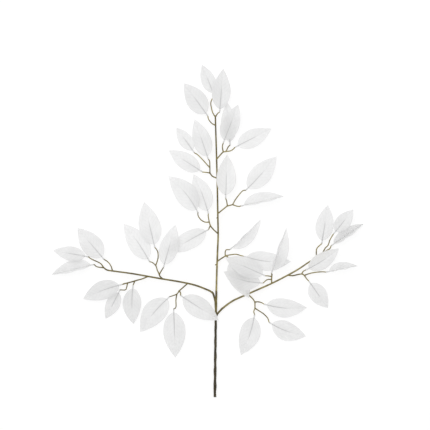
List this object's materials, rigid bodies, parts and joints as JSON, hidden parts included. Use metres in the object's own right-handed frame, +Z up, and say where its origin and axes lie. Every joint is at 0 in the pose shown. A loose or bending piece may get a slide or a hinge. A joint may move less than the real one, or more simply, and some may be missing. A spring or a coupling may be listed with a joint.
{
  "type": "artificial ficus leaf spray",
  "caption": "Artificial ficus spray lying flat: tape-wrapped wire stem, three slim branches with forked twigs, and sheer white pointed fabric leaves on moulded ribs.",
  "frame": {"origin": "on the surface under the middle of the spray's box", "axes": "+Z up from the surface, +Y along the stem from its cut end to the topmost leaf, +X to the right seen from above"},
  "size_m": [0.5614, 0.5992, 0.043],
  "materials": {
    "leaf_fabric": "sheer white woven leaf fabric, stiffened and embossed with fine veins",
    "branch_plastic": "matte olive-brown moulded branch with paler twig ends",
    "stem_tape": "dark brown waxed paper tape wound in overlapping turns",
    "wire_steel": "plain drawn steel wire, cut square"
  },
  "bodies": {
    "root": {"stem_wrap": "stem_tape", "stem_wire": "wire_steel", "centre_branch": "branch_plastic", "left_branch": "branch_plastic", "right_branch": "branch_plastic", "leaf_c1_a": "leaf_fabric", "leaf_c1_b": "leaf_fabric", "leaf_c1_c": "leaf_fabric", "leaf_c2_a": "leaf_fabric", "leaf_c2_b": "leaf_fabric", "leaf_c2_c": "leaf_fabric", "leaf_c3_a": "leaf_fabric", "leaf_c3_b": "leaf_fabric", "leaf_c3_c": "leaf_fabric", "leaf_c4_a": "leaf_fabric", "leaf_c4_b": "leaf_fabric", "leaf_c4_c": "leaf_fabric", "leaf_c5_a": "leaf_fabric", "leaf_c5_b": "leaf_fabric", "leaf_c5_c": "leaf_fabric", "leaf_c6_a": "leaf_fabric", "leaf_c6_b": "leaf_fabric", "leaf_c6_c": "leaf_fabric", "leaf_l1_a": "leaf_fabric", "leaf_l1_b": "leaf_fabric", "leaf_l1_c": "leaf_fabric", "leaf_l2_a": "leaf_fabric", "leaf_l2_b": "leaf_fabric", "leaf_l2_c": "leaf_fabric", "leaf_l3_a": "leaf_fabric", "leaf_l3_b": "leaf_fabric", "leaf_l3_c": "leaf_fabric", "leaf_l4_a": "leaf_fabric", "leaf_l4_b": "leaf_fabric", "leaf_l4_c": "leaf_fabric", "leaf_r1_a": "leaf_fabric", "leaf_r1_b": "leaf_fabric", "leaf_r1_c": "leaf_fabric", "leaf_r2_a": "leaf_fabric", "leaf_r2_b": "leaf_fabric", "leaf_r2_c": "leaf_fabric", "leaf_r3_a": "leaf_fabric", "leaf_r3_b": "leaf_fabric", "leaf_r3_c": "leaf_fabric", "leaf_r4_a": "leaf_fabric", "leaf_r4_b": "leaf_fabric", "leaf_r4_c": "leaf_fabric"}
  },
  "joints": []
}
